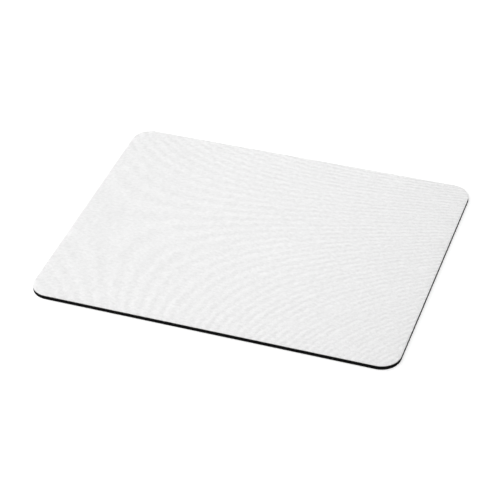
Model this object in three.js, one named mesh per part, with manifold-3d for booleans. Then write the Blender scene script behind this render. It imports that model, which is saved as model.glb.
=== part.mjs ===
import * as THREE from "three";
import { mergeGeometries, mergeVertices } from "three/addons/utils/BufferGeometryUtils.js";
import Module from "manifold-3d";

// Mouse pad: white polyester cloth laminated to a black foam rubber sheet with a hot-melt film.
// The three layers are pressed together as sheets, and one die cuts the pad out of them.
// Millimetres, +Z up. The origin is the centre of the footprint, on the desk.

// Outline of the die, the same for every layer
const padWidth = 230;
const padDepth = 180;
const cornerRadius = 12;
const arcDivisions = 6;

// Thickness of each layer, from the desk up
const rubberThickness = 2.5;
const filmThickness = 0.125;
const clothThickness = 0.375;

// The blade enters through the cloth and drags its top edge down and in
const rimWidth = 0.3;
const rimDrop = 0.2;
const rimSteps = 4;

// Tread of the rubber: drafted zigzag grooves that run from side to side
const groovePitch = 4;
const grooveMouthWidth = 1.6;
const grooveFloorWidth = 1;
const grooveDepth = 0.3;
const zigzagLength = 18;
const zigzagHeight = 3.6;
const edgeLandWidth = 2;

// How far the groove cutters reach past the rubber
const cutOverrun = 1;

// Rounded rectangle of the die, drawn in by an inset that leaves the corner centres in place
function dieOutline(inset) {
  const centreX = padWidth / 2 - cornerRadius;
  const centreY = padDepth / 2 - cornerRadius;
  const radius = cornerRadius - inset;
  const shape = new THREE.Shape();
  shape.absarc(centreX, centreY, radius, 0, Math.PI / 2);
  shape.absarc(-centreX, centreY, radius, Math.PI / 2, Math.PI);
  shape.absarc(-centreX, -centreY, radius, Math.PI, Math.PI * 3 / 2);
  shape.absarc(centreX, -centreY, radius, Math.PI * 3 / 2, Math.PI * 2);
  return shape.extractPoints(arcDivisions).shape;
}

// Closed solid through outlines that have the same number of points, each at its own height
function loft(sections) {
  const positions = [];
  for (const { outline, height } of sections) {
    for (const point of outline) {
      positions.push(point.x, point.y, height);
    }
  }

  const indices = [];
  const count = sections[0].outline.length;
  for (let ring = 0; ring < sections.length - 1; ring++) {
    for (let i = 0; i < count; i++) {
      const here = ring * count + i;
      const next = ring * count + (i + 1) % count;
      indices.push(here, next, next + count);
      indices.push(here, next + count, here + count);
    }
  }

  const lastRing = (sections.length - 1) * count;
  for (const [a, b, c] of THREE.ShapeUtils.triangulateShape(sections[0].outline, [])) {
    indices.push(c, b, a);
  }
  for (const [a, b, c] of THREE.ShapeUtils.triangulateShape(sections.at(-1).outline, [])) {
    indices.push(lastRing + a, lastRing + b, lastRing + c);
  }

  const geometry = new THREE.BufferGeometry();
  geometry.setAttribute("position", new THREE.Float32BufferAttribute(positions, 3));
  geometry.setIndex(indices);
  return geometry;
}

// Plain sheet with square die-cut walls
function sheet(thickness) {
  const outline = dieOutline(0);
  return loft([{ outline, height: 0 }, { outline, height: thickness }]);
}

// Zigzag band of one width, its bends evenly spaced on both sides of the one at the middle
function zigzagBand(width, centreY) {
  const bendSpacing = zigzagLength / 2;
  const reach = padWidth / 2 + cutOverrun;
  const bendsPerSide = Math.ceil(reach / bendSpacing);
  const lower = [];
  const upper = [];
  for (let bend = -bendsPerSide; bend <= bendsPerSide; bend++) {
    const x = bend * bendSpacing;
    const side = bend % 2 === 0 ? 1 : -1;
    const y = centreY + side * zigzagHeight / 2;
    lower.push(new THREE.Vector2(x, y - width / 2));
    upper.push(new THREE.Vector2(x, y + width / 2));
  }
  return [...lower, ...upper.reverse()];
}

// Cutter of one groove: straight below the rubber, then drawn in from mouth to floor
function grooveCutter(centreY) {
  const mouth = zigzagBand(grooveMouthWidth, centreY);
  const floor = zigzagBand(grooveFloorWidth, centreY);
  return loft([
    { outline: mouth, height: -cutOverrun },
    { outline: mouth, height: 0 },
    { outline: floor, height: grooveDepth },
  ]);
}

// Grooves are laid out in pairs about a rib that runs through the middle of the pad
function treadCutters() {
  const reach = padDepth / 2 - edgeLandWidth - zigzagHeight / 2 - grooveMouthWidth / 2;
  const cutters = [];
  for (let centreY = groovePitch / 2; centreY <= reach; centreY += groovePitch) {
    cutters.push(grooveCutter(centreY), grooveCutter(-centreY));
  }
  return mergeGeometries(cutters);
}

const wasm = await Module();
wasm.setup();

function toSolid(geometry) {
  const merged = mergeVertices(geometry);
  const vertProperties = merged.getAttribute("position").array;
  const triVerts = Uint32Array.from(merged.index.array);
  return new wasm.Manifold(new wasm.Mesh({ numProp: 3, vertProperties, triVerts }));
}

function toGeometry(solid) {
  const mesh = solid.getMesh();
  const geometry = new THREE.BufferGeometry();
  geometry.setAttribute("position", new THREE.BufferAttribute(mesh.vertProperties, mesh.numProp));
  geometry.setIndex(new THREE.BufferAttribute(mesh.triVerts, 1));
  return geometry;
}

function rubberBase() {
  const block = toSolid(sheet(rubberThickness));
  const geometry = toGeometry(block.subtract(toSolid(treadCutters())));
  const material = new THREE.MeshStandardMaterial({ color: 0x161616, roughness: 0.85, metalness: 0 });
  return new THREE.Mesh(geometry, material);
}

function adhesiveFilm() {
  const material = new THREE.MeshStandardMaterial({ color: 0xcfccc2, roughness: 0.5, metalness: 0 });
  return new THREE.Mesh(sheet(filmThickness), material);
}

// Square walls, then a rounded rim that runs out level with the top of the cloth
function fabricTop() {
  const shoulder = clothThickness - rimDrop;
  const sections = [{ outline: dieOutline(0), height: 0 }];
  for (let step = 0; step <= rimSteps; step++) {
    const angle = step / rimSteps * Math.PI / 2;
    sections.push({
      outline: dieOutline(rimWidth * (1 - Math.cos(angle))),
      height: shoulder + rimDrop * Math.sin(angle),
    });
  }
  const material = new THREE.MeshStandardMaterial({ color: 0xf1f1f0, roughness: 0.9, metalness: 0 });
  return new THREE.Mesh(loft(sections), material);
}

// Each layer lies face to face on the one below. Heights are rounded as vertices are,
// to 32 bits, so that the faces that touch lie in exactly one plane.
const rubberTop = Math.fround(rubberThickness);
const filmTop = rubberTop + Math.fround(filmThickness);

const rubber = rubberBase();
rubber.name = "rubber_base";

const film = adhesiveFilm();
film.name = "adhesive_film";
film.position.z = rubberTop;

const cloth = fabricTop();
cloth.name = "fabric_top";
cloth.position.z = filmTop;

const mousePad = new THREE.Group();
mousePad.name = "mouse_pad";
mousePad.add(rubber, film, cloth);

export default mousePad;
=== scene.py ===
import math

import bmesh
import bpy
from mathutils import Matrix, Vector, noise


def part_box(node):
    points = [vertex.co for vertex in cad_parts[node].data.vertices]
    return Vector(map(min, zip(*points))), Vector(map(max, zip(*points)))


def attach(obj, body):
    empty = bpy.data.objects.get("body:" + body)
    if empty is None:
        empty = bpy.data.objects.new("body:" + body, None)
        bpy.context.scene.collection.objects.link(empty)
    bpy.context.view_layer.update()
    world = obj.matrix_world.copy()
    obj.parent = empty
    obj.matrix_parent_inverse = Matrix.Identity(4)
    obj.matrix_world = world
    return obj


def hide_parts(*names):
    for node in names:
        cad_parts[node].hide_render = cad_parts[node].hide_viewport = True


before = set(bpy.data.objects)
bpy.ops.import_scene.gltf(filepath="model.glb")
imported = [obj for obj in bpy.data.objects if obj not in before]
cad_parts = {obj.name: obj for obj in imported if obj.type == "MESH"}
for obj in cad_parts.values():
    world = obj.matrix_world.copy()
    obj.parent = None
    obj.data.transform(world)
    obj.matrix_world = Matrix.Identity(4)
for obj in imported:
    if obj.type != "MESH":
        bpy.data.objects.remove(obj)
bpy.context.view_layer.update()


# Rubber base
# The foam rubber sheet that grips the desk. It is foamed and moulded with its zigzag tread as one
# wide sheet, and the pad is die-cut from it, so the grooves run out at the two cut sides and the
# open foam cells show all round.

MM = 0.001


class Wire:
    """A socket in a node tree. Sums on it add Math nodes, and node() adds any other node."""

    def __init__(self, tree, socket=None):
        self.tree = tree
        self.socket = socket

    def node(self, kind, settings, sockets, output=0):
        """Adds a node, gives it its settings, then fills or links its sockets."""
        made = self.tree.nodes.new(kind)
        for name, value in settings.items():
            setattr(made, name, value)
        for name, value in sockets.items():
            for item in value if isinstance(value, list) else [value]:
                if isinstance(item, Wire):
                    self.tree.links.new(item.socket, made.inputs[name])
                else:
                    made.inputs[name].default_value = item
        return Wire(self.tree, made.outputs[output])

    def other(self, output):
        """Another output of the same node."""
        return Wire(self.tree, self.socket.node.outputs[output])

    def math(self, operation, *terms):
        return self.node("ShaderNodeMath", {"operation": operation}, dict(enumerate(terms)))

    def __add__(self, term):
        return self.math("ADD", self, term)

    def __sub__(self, term):
        return self.math("SUBTRACT", self, term)

    def __rsub__(self, term):
        return self.math("SUBTRACT", term, self)

    def __mul__(self, term):
        return self.math("MULTIPLY", self, term)

    def __truediv__(self, term):
        return self.math("DIVIDE", self, term)

    def __rtruediv__(self, term):
        return self.math("DIVIDE", term, self)

    def __pow__(self, term):
        return self.math("POWER", self, term)

    def __abs__(self):
        return self.math("ABSOLUTE", self)

    __radd__ = __add__
    __rmul__ = __mul__

    def floor(self):
        return self.math("FLOOR", self)

    def fract(self):
        return self.math("FRACT", self)

    def xyz(self):
        """The three parts of a vector."""
        x = self.node("ShaderNodeSeparateXYZ", {}, {"Vector": self})
        return x, x.other("Y"), x.other("Z")

    def vector(self, x, y, z):
        return self.node("ShaderNodeCombineXYZ", {}, {"X": x, "Y": y, "Z": z})

    def vector_math(self, operation, *terms):
        return self.node("ShaderNodeVectorMath", {"operation": operation}, dict(enumerate(terms)))

    def scaled(self, factor):
        """A vector made longer or shorter by a factor."""
        return self.node(
            "ShaderNodeVectorMath", {"operation": "SCALE"}, {"Vector": self, "Scale": factor}
        )

    def noise(self, where, grain, detail):
        """Soft random values about 0.5, over grains of the given size, with finer ones on them."""
        return self.node(
            "ShaderNodeTexNoise", {}, {"Vector": where, "Scale": 1 / grain, "Detail": detail}
        )


def new_recipe(name, sizes):
    """Starts a Geometry Nodes tree that has a named input for each size."""
    tree = bpy.data.node_groups.new(name, "GeometryNodeTree")
    tree.interface.new_socket("Geometry", in_out="OUTPUT", socket_type="NodeSocketGeometry")
    for size in sizes:
        tree.interface.new_socket(size, in_out="INPUT", socket_type="NodeSocketFloat")
    entry = tree.nodes.new("NodeGroupInput")
    return Wire(tree), {size: Wire(tree, entry.outputs[size]) for size in sizes}


def make_piece(name, shape, sizes, material):
    """Runs a recipe with its sizes, and keeps the result as one plain mesh."""
    tree = shape.tree
    whole = shape.node("GeometryNodeRealizeInstances", {}, {"Geometry": shape})
    dressed = shape.node("GeometryNodeSetMaterial", {}, {"Geometry": whole, "Material": material})
    exit_node = tree.nodes.new("NodeGroupOutput")
    tree.links.new(dressed.socket, exit_node.inputs[0])

    piece = bpy.data.objects.new(name, bpy.data.meshes.new(name))
    bpy.context.scene.collection.objects.link(piece)
    modifier = piece.modifiers.new("recipe", "NODES")
    modifier.node_group = tree
    for socket in tree.interface.items_tree:
        if socket.in_out == "INPUT":
            modifier[socket.identifier] = float(sizes[socket.name])

    depsgraph = bpy.context.evaluated_depsgraph_get()
    mesh = bpy.data.meshes.new_from_object(piece.evaluated_get(depsgraph))
    piece.modifiers.remove(modifier)
    piece.data = mesh
    return piece


def die_outline(nodes, size):
    """The outline of the die as a curve: a rectangle with its corners rounded by short chords."""
    chords_per_corner = 23
    rectangle = nodes.node(
        "GeometryNodeCurvePrimitiveQuadrilateral",
        {"mode": "RECTANGLE"},
        {"Width": size["Width"], "Height": size["Depth"]},
    )
    return nodes.node(
        "GeometryNodeFilletCurve",
        {"mode": "POLY"},
        {"Curve": rectangle, "Count": chords_per_corner, "Radius": size["Corner radius"]},
    )


def slab(nodes, sheet, height):
    """Closes an open sheet into a slab by pushing it up and leaving its turned copy below."""
    weld_distance = 0.001 * MM
    top = nodes.node(
        "GeometryNodeExtrudeMesh",
        {"mode": "FACES"},
        {"Mesh": sheet, "Offset": (0, 0, 1), "Offset Scale": height, "Individual": False},
    )
    bottom = nodes.node("GeometryNodeFlipFaces", {}, {"Mesh": sheet})
    both = nodes.node("GeometryNodeJoinGeometry", {}, {"Geometry": [top, bottom]})
    return nodes.node(
        "GeometryNodeMergeByDistance", {}, {"Geometry": both, "Distance": weld_distance}
    )


def treaded_sheet(nodes, size):
    """The moulded sheet with its tread, trimmed by the die."""
    lines_per_groove = 8
    lines_per_bend = 5
    spare_chords = 4
    margin_reach = 3
    bend_sharpness = 0.97
    overrun = 1 * MM
    weld_distance = 0.01 * MM

    pairs = (size["Depth"] / 2 - size["Tread margin"]) / size["Groove pitch"]
    grooves = (pairs + 0.5).floor() * 2
    line_gaps = grooves * lines_per_groove + 1
    chord = size["Zigzag length"] / 2 / lines_per_bend
    chords = (size["Width"] / 2 / chord).floor() * 2 + spare_chords
    grid = nodes.node(
        "GeometryNodeMeshGrid",
        {},
        {
            "Size X": chords * chord,
            "Size Y": line_gaps,
            "Vertices X": chords + 1,
            "Vertices Y": line_gaps + 1,
        },
    )

    # Each grid line runs along a groove, at one step of one of its two walls
    x, grid_y, _ = nodes.node("GeometryNodeInputPosition", {}, {}).xyz()
    line = (grid_y + line_gaps / 2 + 0.5).floor() - 1
    groove = (line / lines_per_groove).floor()
    step = line - groove * lines_per_groove
    side = nodes.math("SIGN", step - (lines_per_groove - 1) / 2)
    wall_steps = lines_per_groove / 2 - 1
    share = nodes.math("MINIMUM", step, lines_per_groove - 1 - step) / wall_steps
    drawn_in = (size["Groove floor"] - size["Groove mouth"]) / 2 * share
    half_width = size["Groove mouth"] / 2 + drawn_in

    # The first and last lines are the plain margins, and reach past the die
    beyond = nodes.math("GREATER_THAN", groove, grooves - 1) - nodes.math("LESS_THAN", groove, 0)
    margin = beyond * size["Tread margin"] * margin_reach
    centre = (groove - (grooves - 1) / 2) * size["Groove pitch"]

    # A triangle wave whose bends are a little soft
    swing = nodes.math("COSINE", x / size["Zigzag length"] * math.tau)
    zigzag = nodes.math("ARCSINE", swing * bend_sharpness) / math.asin(bend_sharpness)

    # The walls run out smoothly into the ribs and the floor
    y = centre + side * half_width + margin + zigzag * size["Zigzag height"] / 2
    z = share * share * (3 - 2 * share) * size["Groove depth"]
    tread = nodes.node(
        "GeometryNodeSetPosition", {}, {"Geometry": grid, "Position": nodes.vector(x, y, z)}
    )

    moulded = slab(nodes, tread, size["Thickness"] + overrun)
    footprint = nodes.node(
        "GeometryNodeFillCurve", {"mode": "NGONS"}, {"Curve": die_outline(nodes, size)}
    )
    below = nodes.node(
        "GeometryNodeSetPosition", {}, {"Geometry": footprint, "Offset": (0, 0, -overrun)}
    )
    die = slab(nodes, below, size["Thickness"] + overrun)
    trimmed = nodes.node(
        "GeometryNodeMeshBoolean",
        {"operation": "INTERSECT", "solver": "EXACT"},
        {"Mesh 2": [moulded, die]},
    )
    return nodes.node(
        "GeometryNodeMergeByDistance", {}, {"Geometry": trimmed, "Distance": weld_distance}
    )


def new_material(name, roughness, **sockets):
    """A Principled material, with its shader and a wire that adds nodes to it.

    Sockets are named with _ for a space.
    """
    material = bpy.data.materials.new(name)
    material.use_nodes = True
    shader = material.node_tree.nodes["Principled BSDF"]
    shader.inputs["Roughness"].default_value = roughness
    for socket, value in sockets.items():
        shader.inputs[socket.replace("_", " ")].default_value = value
    return material, shader, Wire(material.node_tree)


def link(wire, shader, socket):
    wire.tree.links.new(wire.socket, shader.inputs[socket])


def mix_colours(nodes, share, low, high):
    """A colour between two sockets, by a share that runs from 0 to 1."""
    return nodes.node(
        "ShaderNodeMix", {"data_type": "RGBA"}, {"Factor": share, "A": low, "B": high}, "Result"
    )


def blend_colours(nodes, share, low, high):
    """A colour between two plain ones."""
    return mix_colours(nodes, share, (*low, 1), (*high, 1))


def add_relief(nodes, shader, height):
    """Bump from a height in metres."""
    bump = nodes.node("ShaderNodeBump", {}, {"Height": height, "Strength": 1.0, "Distance": 1.0})
    link(bump, shader, "Normal")


def foam_rubber():
    """Black foam rubber: a fine moulded skin underneath, open cells where the blade cut it, with
    painted shade in their pits.
    """
    level = 0.5
    cell_size = 0.22 * MM
    cell_depth = 0.06 * MM
    cell_contrast = 1.3
    cell_shade = 0.15
    skin_grain = 0.35 * MM
    skin_depth = 0.012 * MM
    smoothest = 0.84
    roughening = 0.12
    bloom_grain = 22 * MM
    bloom_contrast = 1.6
    pore_shade_black = (0.0016, 0.0016, 0.0016)
    cell_wall_black = (0.0078, 0.0078, 0.0080)
    skin_black = (0.0095, 0.0095, 0.0095)
    bloomed_black = (0.0210, 0.0210, 0.0215)

    material, shader, nodes = new_material(
        "foam_rubber", roughness=0.9, Specular_IOR_Level=0.07
    )
    coordinates = nodes.node("ShaderNodeTexCoord", {}, {}, "Object")
    _, _, facing = coordinates.other("Normal").xyz()
    cut = nodes.math("LESS_THAN", abs(facing), level)
    cells = nodes.node(
        "ShaderNodeTexVoronoi",
        {"feature": "F1"},
        {"Vector": coordinates, "Scale": 1 / cell_size, "Randomness": 1.0},
        "Distance",
    )
    skin = nodes.noise(coordinates, skin_grain, detail=3.0)
    add_relief(nodes, shader, cut * cells * cell_depth + (1 - cut) * skin * skin_depth)

    bloom = nodes.noise(coordinates, bloom_grain, detail=4.0)
    bloomed = (bloom - 0.5) * bloom_contrast + 0.5
    # Painted shade: the pits of the open cells are painted darker than the cell walls around them.
    lit_cells = cells * cell_contrast - cell_shade
    foam_tone = blend_colours(nodes, lit_cells, pore_shade_black, cell_wall_black)
    skin_tone = blend_colours(nodes, bloomed, skin_black, bloomed_black)
    link(mix_colours(nodes, cut, skin_tone, foam_tone), shader, "Base Color")
    link(smoothest + skin * roughening, shader, "Roughness")
    return material


def soften(piece, sharpest_bend):
    """Smooth shading, but for the edges that turn by more than a given angle."""
    piece.data.shade_smooth()
    piece.data.set_sharp_from_angle(angle=sharpest_bend)


def unfold(piece, shown_side):
    """Bake layout: the shown face at full size, the four walls as strips, the other face small."""
    margin = 0.01
    strip_gap = 0.04
    strip_stretch = 2.5
    small = 0.04
    level = 0.5
    low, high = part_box("rubber_base")
    full = (1 - 2 * margin) / (high.x - low.x)
    first_strip = 2 * margin + (high.y - low.y) * full
    walls = [Vector((0, -1, 0)), Vector((0, 1, 0)), Vector((-1, 0, 0)), Vector((1, 0, 0))]

    mesh = piece.data
    layout = mesh.uv_layers.new(name="OFBake")
    for face in mesh.polygons:
        for corner in face.loop_indices:
            point = mesh.vertices[mesh.loops[corner].vertex_index].co
            if face.normal.z * shown_side > level:
                place = ((point.x - low.x) * full, (point.y - low.y) * full)
            elif abs(face.normal.z) > level:
                place = (
                    (point.x - low.x) * full * small,
                    first_strip + len(walls) * strip_gap + (point.y - low.y) * full * small,
                )
            else:
                wall = max(range(len(walls)), key=lambda side: walls[side].dot(face.normal))
                along = point.x - low.x if walls[wall].y else point.y - low.y
                rise = (point.z - low.z) * full * strip_stretch
                place = (along * full, first_strip + wall * strip_gap + rise)
            layout.uv[corner].vector = (margin + place[0], place[1])


rubber_low, rubber_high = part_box("rubber_base")
rubber_size = {
    "Width": rubber_high.x - rubber_low.x,
    "Depth": rubber_high.y - rubber_low.y,
    "Thickness": rubber_high.z - rubber_low.z,
    "Corner radius": 12 * MM,
    "Groove pitch": 4 * MM,
    "Groove mouth": 1.76 * MM,
    "Groove floor": 0.84 * MM,
    "Groove depth": 0.3 * MM,
    "Zigzag length": 18 * MM,
    "Zigzag height": 3.6 * MM,
    "Tread margin": 4.6 * MM,
}
rubber_nodes, rubber_inputs = new_recipe("rubber_base_recipe", rubber_size)
rubber = make_piece(
    "foam_rubber_base", treaded_sheet(rubber_nodes, rubber_inputs), rubber_size, foam_rubber()
)
soften(rubber, sharpest_bend=math.radians(35))
unfold(rubber, shown_side=-1)
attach(rubber, "root")
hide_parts("rubber_base")


# Adhesive film
# The hot-melt film that holds the cloth on the rubber. It was melted between the two under a hot
# press, so at the cut its edge wanders a little, where it soaked into one side or the other.

def outward(nodes, size):
    """From each point of the outline straight out of the pad, as long as the corner radius."""
    corner = nodes.vector(
        size["Width"] / 2 - size["Corner radius"], size["Depth"] / 2 - size["Corner radius"], 0
    )
    position = nodes.node("GeometryNodeInputPosition", {}, {})
    inside = nodes.vector_math(
        "MAXIMUM", nodes.vector_math("MINIMUM", position, corner), corner.scaled(-1)
    )
    return nodes.vector_math("SUBTRACT", position, inside)


def melted_sheet(nodes, size):
    """The film, its outline stepped round finely and moved in and out by a soft noise."""
    outline = nodes.node(
        "GeometryNodeResampleCurve",
        {"mode": "LENGTH"},
        {"Curve": die_outline(nodes, size), "Length": size["Edge step"]},
    )
    position = nodes.node("GeometryNodeInputPosition", {}, {})
    edge_noise = nodes.noise(position, size["Edge grain"], detail=2.0)
    wander = (edge_noise - 0.5) * 2 * size["Edge wander"]
    shift = outward(nodes, size).scaled(wander / size["Corner radius"])
    melted = nodes.node("GeometryNodeSetPosition", {}, {"Geometry": outline, "Offset": shift})
    footprint = nodes.node("GeometryNodeFillCurve", {"mode": "NGONS"}, {"Curve": melted})
    lifted = nodes.node(
        "GeometryNodeSetPosition",
        {},
        {"Geometry": footprint, "Offset": nodes.vector(0, 0, size["Underside"])},
    )
    return slab(nodes, lifted, size["Thickness"])


def hot_melt_film():
    """Milky film with a satin skin, whiter where it stretched."""
    flow_grain = 3 * MM
    flow_relief = 0.02 * MM
    glossiest = 0.4
    roughening = 0.2
    milky = (0.64, 0.62, 0.57)
    whitened = (0.78, 0.77, 0.73)
    material, shader, nodes = new_material(
        "hot_melt_film", roughness=0.5, Specular_IOR_Level=0.4
    )
    coordinates = nodes.node("ShaderNodeTexCoord", {}, {}, "Object")
    flow = nodes.noise(coordinates, flow_grain, detail=3.0)
    link(blend_colours(nodes, flow, milky, whitened), shader, "Base Color")
    link(glossiest + flow * roughening, shader, "Roughness")
    add_relief(nodes, shader, flow * flow_relief)
    return material


film_low, film_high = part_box("adhesive_film")
film_size = {
    "Width": rubber_size["Width"],
    "Depth": rubber_size["Depth"],
    "Corner radius": rubber_size["Corner radius"],
    "Underside": film_low.z,
    "Thickness": film_high.z - film_low.z,
    "Edge step": 0.8 * MM,
    "Edge grain": 2.5 * MM,
    "Edge wander": 0.1 * MM,
}
film_nodes, film_inputs = new_recipe("adhesive_film_recipe", film_size)
film = make_piece(
    "melted_film", melted_sheet(film_nodes, film_inputs), film_size, hot_melt_film()
)
soften(film, sharpest_bend=math.radians(35))
unfold(film, shown_side=1)
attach(film, "root")
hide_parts("adhesive_film")


# Cloth face
# White polyester jersey, knitted fine and heat-set flat, that the mouse glides on. The blade comes
# down through it: it drags the cut edge over into a small round rim, and squeezes the foam below, so
# the last few millimetres of the cloth roll down a little.

cloth_low, cloth_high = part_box("fabric_top")
cloth_half_width = (cloth_high.x - cloth_low.x) / 2
cloth_half_depth = (cloth_high.y - cloth_low.y) / 2
cloth_corner = rubber_size["Corner radius"]
rim_width = 0.3 * MM
rim_drop = 0.15 * MM
roll_width = 3 * MM
roll_drop = 0.18 * MM


def mesh_lines(half_length):
    """Where mesh lines cross the cloth: close over the rim, then through the corner, then wide."""
    rim_steps = 5
    corner_steps = 11
    wide_step = 4 * MM
    rim = [rim_width * (1 - math.cos(i / rim_steps * math.pi / 2)) for i in range(rim_steps)]
    corner_step = (cloth_corner - rim_width) / corner_steps
    corner = [rim_width + i * corner_step for i in range(corner_steps)]
    straight = half_length - cloth_corner
    wide_steps = round(2 * straight / wide_step)
    middle = [straight * (2 * i / wide_steps - 1) for i in range(wide_steps + 1)]
    edge = [half_length - inset for inset in rim + corner]
    return [-line for line in edge] + middle + edge[::-1]


def on_die_outline(x, y):
    """Draws the corners of a plain rectangle in to the round ones of the die."""
    beyond_x = abs(x) - (cloth_half_width - cloth_corner)
    beyond_y = abs(y) - (cloth_half_depth - cloth_corner)
    if min(beyond_x, beyond_y) <= 0:
        return x, y
    reach = max(beyond_x, beyond_y)
    lean = min(beyond_x, beyond_y) / reach * math.pi / 4
    if beyond_y > beyond_x:
        lean = math.pi / 2 - lean
    round_x = cloth_half_width - cloth_corner + reach * math.cos(lean)
    round_y = cloth_half_depth - cloth_corner + reach * math.sin(lean)
    return math.copysign(round_x, x), math.copysign(round_y, y)


def cloth_height(x, y):
    """Top of the cloth: round at the rim, rolled near it, then slightly uneven over the foam."""
    hollow_size = 18 * MM
    hollow_depth = 0.03 * MM
    inset = min(cloth_half_width - abs(x), cloth_half_depth - abs(y))
    rolled = cloth_high.z - roll_drop * math.exp(-inset / roll_width)
    if inset < rim_width:
        level = math.sqrt(1 - (1 - inset / rim_width) ** 2)
        return rolled - rim_drop * (1 - level)
    fade = min(1, (inset - rim_width) / cloth_corner)
    unevenness = 0.5 + 0.5 * noise.noise(Vector((x, y, 0)) / hollow_size)
    return rolled - hollow_depth * unevenness * fade


def add_layer(shape, lines_x, lines_y, height):
    """Adds one face of the cloth as a grid, and gives back its outer points, once round."""
    rows = []
    for y in lines_y:
        rows.append([shape.verts.new((*on_die_outline(x, y), height(x, y))) for x in lines_x])
    for row, next_row in zip(rows, rows[1:]):
        for i in range(len(row) - 1):
            shape.faces.new((row[i], row[i + 1], next_row[i + 1], next_row[i]))
    right = [row[-1] for row in rows[1:-1]]
    left = [row[0] for row in rows[1:-1]]
    return rows[0] + right + rows[-1][::-1] + left[::-1]


def cut_cloth():
    """The cloth as one closed mesh: its face, its back on the film, and the cut wall between."""
    shape = bmesh.new()
    lines_x = mesh_lines(cloth_half_width)
    lines_y = mesh_lines(cloth_half_depth)
    top = add_layer(shape, lines_x, lines_y, cloth_height)
    back = add_layer(shape, lines_x, lines_y, lambda x, y: cloth_low.z)
    for i in range(len(top)):
        shape.faces.new((back[i - 1], back[i], top[i], top[i - 1]))
    bmesh.ops.recalc_face_normals(shape, faces=shape.faces)
    mesh = bpy.data.meshes.new("cloth_face")
    shape.to_mesh(mesh)
    shape.free()
    piece = bpy.data.objects.new("cloth_face", mesh)
    bpy.context.scene.collection.objects.link(piece)
    return piece


def knit_stitches(nodes, x, y):
    """Columns of V stitches: how high the yarn lies, and a random tone for each stitch."""
    wale = 0.62 * MM
    course = 0.52 * MM
    stitch_lean = 0.9

    # A stitch is a V: one leg on each side of its column's middle, rising outwards
    wales = x / wale
    across = abs(wales.fract() - 0.5) * 2
    courses = y / course - across * stitch_lean
    leg = 1 - (across * 2 - 1) ** 2
    strand = 1 - (courses.fract() * 2 - 1) ** 2
    tone = nodes.node(
        "ShaderNodeTexWhiteNoise",
        {"noise_dimensions": "2D"},
        {"Vector": nodes.vector(wales.floor(), courses.floor(), 0)},
    )
    return (leg * strand) ** 0.5, tone


def faint_ripples(nodes, coordinates):
    """Ripples that close up the further they are from a calm spot, and how far that is."""
    calm_spot = (-103 * MM, -7.5 * MM, 0)
    turn = math.radians(65)
    first_ripple_up = 32.5 * MM
    first_ripple_across = 39 * MM
    sway_grain = 5 * MM
    sway_turns = 0.8
    break_grain = 5 * MM
    break_contrast = 3
    break_depth = 0.9
    placed = nodes.node(
        "ShaderNodeMapping",
        {"vector_type": "TEXTURE"},
        {
            "Vector": coordinates,
            "Location": calm_spot,
            "Rotation": (0, 0, turn),
            "Scale": (first_ripple_up, first_ripple_across, 1),
        },
    )
    up, aside, _ = placed.xyz()
    sway = (nodes.noise(coordinates, sway_grain, detail=1.0) - 0.5) * sway_turns
    ripples = nodes.math("COSINE", (aside * aside - up * up + sway) * math.tau)
    strength = nodes.noise(coordinates, break_grain, detail=1.0) * break_contrast - break_depth
    way = nodes.node("ShaderNodeVectorMath", {"operation": "LENGTH"}, {0: placed}, "Value")
    return ripples * strength, way


def white_jersey():
    """White knit: V stitches with painted shade between them, uneven yarn, and the faint ripples that
    a fine knit shows from afar.
    """
    yarn_relief = 0.04 * MM
    bow_grain = 90 * MM
    bow_depth = 14 * MM
    slub_length = 2.6 * MM
    slub_width = 1.6 * MM
    cloud_grain = 12 * MM
    hollow_shade_and_dull_white = (0.80, 0.80, 0.80)
    lit_top_and_bright_white = (0.97, 0.97, 0.97)

    # How far each pattern moves the colour from one white to the other. A gain adds to that away
    # from the calm spot, once for each first ripple's distance.
    mean_stitch = 0.62
    stitch_shade_share = 0.4
    slub_share = 1.12
    cloud_share = 0.2
    tone_share = 0.12
    tone_gain = 0.08
    ripple_share = 0.1
    ripple_gain = 0.044

    material, shader, nodes = new_material(
        "white_jersey",
        roughness=0.9,
        Specular_IOR_Level=0.1,
        Sheen_Weight=0.08,
        Sheen_Roughness=0.5,
    )
    coordinates = nodes.node("ShaderNodeTexCoord", {}, {}, "Object")
    x, y, _ = coordinates.xyz()
    bowed = y + (nodes.noise(coordinates, bow_grain, detail=0.0) - 0.5) * bow_depth
    stitch, tone = knit_stitches(nodes, x, bowed)
    add_relief(nodes, shader, stitch * yarn_relief)

    ripples, way = faint_ripples(nodes, coordinates)
    slubs = nodes.noise(nodes.vector(x / slub_length, bowed / slub_width, 0), 1, detail=1.0)
    clouds = nodes.noise(coordinates, cloud_grain, detail=3.0)
    # Painted shade and light: the stitch's height paints the hollows between the yarns darker and the
    # yarn tops lighter.
    share = 0.5 + (stitch - mean_stitch) * stitch_shade_share
    share = share - ripples * (ripple_share + way * ripple_gain)
    share = share + (slubs - 0.5) * slub_share + (clouds - 0.5) * cloud_share
    share = share + (tone - 0.5) * (tone_share + way * tone_gain)
    link(blend_colours(nodes, share, hollow_shade_and_dull_white, lit_top_and_bright_white), shader, "Base Color")
    return material


cloth = cut_cloth()
cloth.data.materials.append(white_jersey())
soften(cloth, sharpest_bend=math.radians(50))
unfold(cloth, shown_side=1)
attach(cloth, "root")
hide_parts("fabric_top")


# Cut yarn ends
# Where the blade cut the knit, the ends of its polyester yarns stick out all round, about a tenth of
# a millimetre. They are held by the film, so they don't fray.

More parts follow.
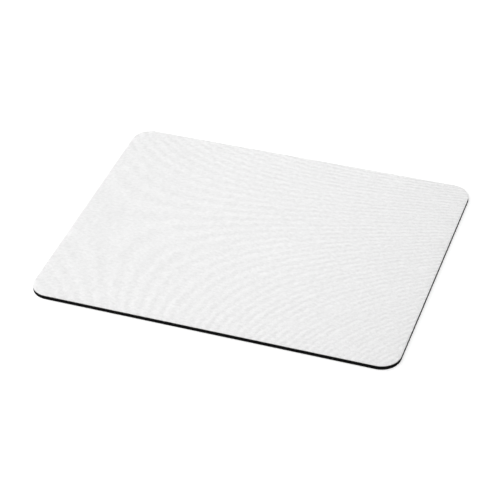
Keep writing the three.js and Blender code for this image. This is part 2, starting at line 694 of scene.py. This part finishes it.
def cut_ends(nodes, size):
    """Short tapered ends along the outline, each at its own height, lean and length."""
    sides = 5
    taper = 0.6
    tilt = 0.25
    spin = 3.0
    shortest = 0.75
    longest = 1.25
    height_seed = 3
    lean_seed = 5
    length_seed = 7

    outline = nodes.node(
        "GeometryNodeResampleCurve",
        {"mode": "LENGTH"},
        {"Curve": die_outline(nodes, size), "Length": size["End spacing"]},
    )
    points = nodes.node("GeometryNodeCurveToPoints", {"mode": "EVALUATED"}, {"Curve": outline})
    rise = nodes.node(
        "FunctionNodeRandomValue",
        {"data_type": "FLOAT"},
        {"Min": size["Lowest end"], "Max": size["Highest end"], "Seed": height_seed},
        1,
    )
    sunk = outward(nodes, size).scaled(0 - size["End root"] / size["Corner radius"])
    stand_out = nodes.node(
        "GeometryNodeSetPosition",
        {},
        {"Geometry": points, "Offset": nodes.vector_math("ADD", sunk, nodes.vector(0, 0, rise))},
    )
    facing = nodes.node(
        "FunctionNodeAlignRotationToVector", {"axis": "Z"}, {"Vector": outward(nodes, size)}
    )
    lean = nodes.node(
        "FunctionNodeRandomValue",
        {"data_type": "FLOAT_VECTOR"},
        {"Min": (-tilt, -tilt, -spin), "Max": (tilt, tilt, spin), "Seed": lean_seed},
        0,
    )
    lean_turn = nodes.node("FunctionNodeEulerToRotation", {}, {"Euler": lean})
    turned = nodes.node(
        "FunctionNodeRotateRotation",
        {"rotation_space": "LOCAL"},
        {"Rotation": facing, "Rotate By": lean_turn},
    )
    stub = nodes.node(
        "GeometryNodeMeshCone",
        {"fill_type": "NGON"},
        {
            "Vertices": sides,
            "Radius Top": size["End radius"] * taper,
            "Radius Bottom": size["End radius"],
            "Depth": size["End length"],
        },
    )
    scale = nodes.node(
        "FunctionNodeRandomValue",
        {"data_type": "FLOAT"},
        {"Min": shortest, "Max": longest, "Seed": length_seed},
        1,
    )
    return nodes.node(
        "GeometryNodeInstanceOnPoints",
        {},
        {"Points": stand_out, "Instance": stub, "Rotation": turned, "Scale": scale},
    )


def white_yarn():
    """The same polyester as the cloth, seen as single yarns."""
    tuft_grain = 1.2 * MM
    shaded_white = (0.83, 0.83, 0.825)
    bright_white = (0.94, 0.94, 0.935)
    material, shader, nodes = new_material("white_yarn", roughness=0.85, Specular_IOR_Level=0.3)
    coordinates = nodes.node("ShaderNodeTexCoord", {}, {}, "Object")
    tufts = nodes.noise(coordinates, tuft_grain, detail=2.0)
    link(blend_colours(nodes, tufts, shaded_white, bright_white), shader, "Base Color")
    return material


yarn_size = {
    "Width": rubber_size["Width"],
    "Depth": rubber_size["Depth"],
    "Corner radius": rubber_size["Corner radius"],
    "Lowest end": cloth_low.z + 0.05 * MM,
    "Highest end": cloth_low.z + 0.12 * MM,
    "End spacing": 0.25 * MM,
    "End root": 0.27 * MM,
    "End radius": 0.06 * MM,
    "End length": 0.32 * MM,
}
yarn_nodes, yarn_inputs = new_recipe("cut_ends_recipe", yarn_size)
yarn_ends = make_piece("cut_yarn_ends", cut_ends(yarn_nodes, yarn_inputs), yarn_size, white_yarn())
yarn_ends.data.shade_smooth()
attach(yarn_ends, "root")


# Table top
# A plain pale table that the pad lies on, far wider than the view. It shows white to the camera and
# keeps the pad's soft shadow.

def pale_table():
    """Pale for the light that it throws back, white for the eye."""
    pale_grey = (0.8, 0.8, 0.8)
    near_glow = 0.5
    far_glow = 0.64
    lit_radius = 0.2
    unlit_radius = 0.7
    material, shader, nodes = new_material(
        "pale_table",
        roughness=0.9,
        Specular_IOR_Level=0.0,
        Base_Color=(*pale_grey, 1),
        Emission_Strength=1.0,
    )

    # The lamp lights the table only round the pad, so further out it glows more
    coordinates = nodes.node("ShaderNodeTexCoord", {}, {}, "Object")
    distance = nodes.node("ShaderNodeVectorMath", {"operation": "LENGTH"}, {0: coordinates}, "Value")
    glow = nodes.node(
        "ShaderNodeMapRange",
        {"interpolation_type": "SMOOTHSTEP"},
        {
            "Value": distance,
            "From Min": lit_radius,
            "From Max": unlit_radius,
            "To Min": near_glow,
            "To Max": far_glow,
        },
    )
    seen = nodes.node("ShaderNodeLightPath", {}, {}, "Is Camera Ray")
    link(seen * glow, shader, "Emission Color")
    return material


table_half_width = 4.0
table_mesh = bpy.data.meshes.new("table_top")
table_shape = bmesh.new()
bmesh.ops.create_grid(table_shape, x_segments=1, y_segments=1, size=table_half_width)
table_shape.to_mesh(table_mesh)
table_shape.free()
table_mesh.materials.append(pale_table())
table = bpy.data.objects.new("table_top", table_mesh)
bpy.context.scene.collection.objects.link(table)


# Light
# Even white light from all round, a soft lamp over the left end of the pad, so that the cloth falls
# off a little towards the right, and a low window at the back left, which shows how its edges roll.

room_light = 0.2535
room = bpy.data.worlds.new("room")
room.use_nodes = True
room_background = room.node_tree.nodes["Background"]
room_nodes = Wire(room.node_tree)
path = room_nodes.node("ShaderNodeLightPath", {}, {}, "Is Camera Ray")
seen = room_nodes.math("MAXIMUM", path, path.other("Is Glossy Ray"))
seen = room_nodes.math("MAXIMUM", seen, path.other("Is Transmission Ray"))
link(room_light + seen * (1 - room_light), room_background, "Strength")
room_background.inputs["Color"].default_value = (1, 1, 1, 1)
bpy.context.scene.world = room

# The softbox has a grid in front, so a point of it reaches only so far aside for its height
softbox_power = 0.958
softbox_width = 0.626
softbox_depth = 0.884
softbox_place = (-0.057, 0, 0.4)
reach_for_height = 1.276
softbox_data = bpy.data.lights.new("softbox", "AREA")
softbox_data.energy = softbox_power
softbox_data.shape = "RECTANGLE"
softbox_data.size = softbox_width
softbox_data.size_y = softbox_depth
softbox_data.spread = 2 * math.atan(reach_for_height)
softbox = bpy.data.objects.new("softbox", softbox_data)
softbox.location = softbox_place
softbox.visible_camera = False
bpy.context.scene.collection.objects.link(softbox)

# The window's share is what it adds to a level white surface
window_share = 0.25
window_elevation = math.radians(20)
window_direction = math.radians(168)
window_breadth = math.radians(20)
towards_window = Vector((
    math.cos(window_elevation) * math.cos(window_direction),
    math.cos(window_elevation) * math.sin(window_direction),
    math.sin(window_elevation),
))
window_data = bpy.data.lights.new("window", "SUN")
window_data.energy = window_share * math.pi / math.sin(window_elevation)
window_data.angle = window_breadth
window = bpy.data.objects.new("window", window_data)
window.rotation_euler = towards_window.to_track_quat("Z", "Y").to_euler()
bpy.context.scene.collection.objects.link(window)


# Camera
# The photograph's own view: from the front right, about 38 degrees above the table, with a long lens.

camera_azimuth = math.radians(20.73)
camera_elevation = math.radians(38.53)
camera_roll = math.radians(-2.13)
camera_distance = 1.1112
aim_right = -3.97 * MM
aim_up = -5.01 * MM
sensor_width = 36
frame_pixels = 500
focal_pixels = 1790.2
turn = (
    Matrix.Rotation(camera_azimuth, 4, "Z")
    @ Matrix.Rotation(math.pi / 2 - camera_elevation, 4, "X")
    @ Matrix.Rotation(camera_roll, 4, "Z")
)
camera_data = bpy.data.cameras.new("camera")
camera_data.sensor_width = sensor_width
camera_data.lens = focal_pixels * sensor_width / frame_pixels
camera = bpy.data.objects.new("camera", camera_data)
camera.matrix_world = turn @ Matrix.Translation((aim_right, aim_up, camera_distance))
bpy.context.scene.collection.objects.link(camera)
bpy.context.scene.camera = camera

bpy.context.scene.view_settings.view_transform = "Standard"
